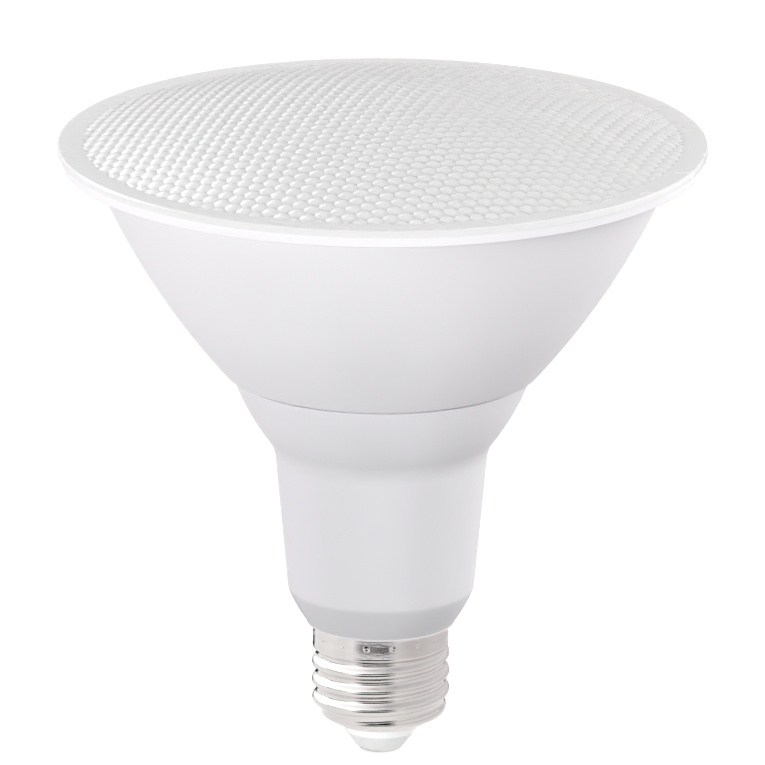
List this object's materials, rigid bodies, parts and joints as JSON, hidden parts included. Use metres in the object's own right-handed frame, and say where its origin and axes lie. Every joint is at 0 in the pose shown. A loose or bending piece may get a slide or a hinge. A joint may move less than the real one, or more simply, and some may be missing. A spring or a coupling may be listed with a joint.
{
  "type": "par spotlight bulb",
  "caption": "Reflector-shaped spotlight bulb: wide dimpled round lens on a flared two-part housing, tapering to a screw base.",
  "frame": {"origin": "centre of the lowest face, the centre contact of the screw base", "axes": "+Z along the lamp's axis from the centre contact towards the lens; +X and +Y are across it, with a thread crest on the +X side 11.9 mm above the contact"},
  "size_m": [0.1224, 0.1224, 0.1284],
  "materials": {
    "lens_plastic": "clear moulded lens over a pale diffusing inside",
    "upper_plastic": "smooth white, semi-gloss",
    "lower_plastic": "smooth white, semi-gloss",
    "shell_nickel": "bright nickel plating, rolled",
    "insulator_white": "smooth white insulating moulding",
    "contact_metal": "bright plated button"
  },
  "bodies": {
    "root": {"lens": "lens_plastic", "upper_housing": "upper_plastic", "lower_housing": "lower_plastic", "screw_shell": "shell_nickel", "insulator": "insulator_white", "centre_contact": "contact_metal"}
  },
  "joints": []
}
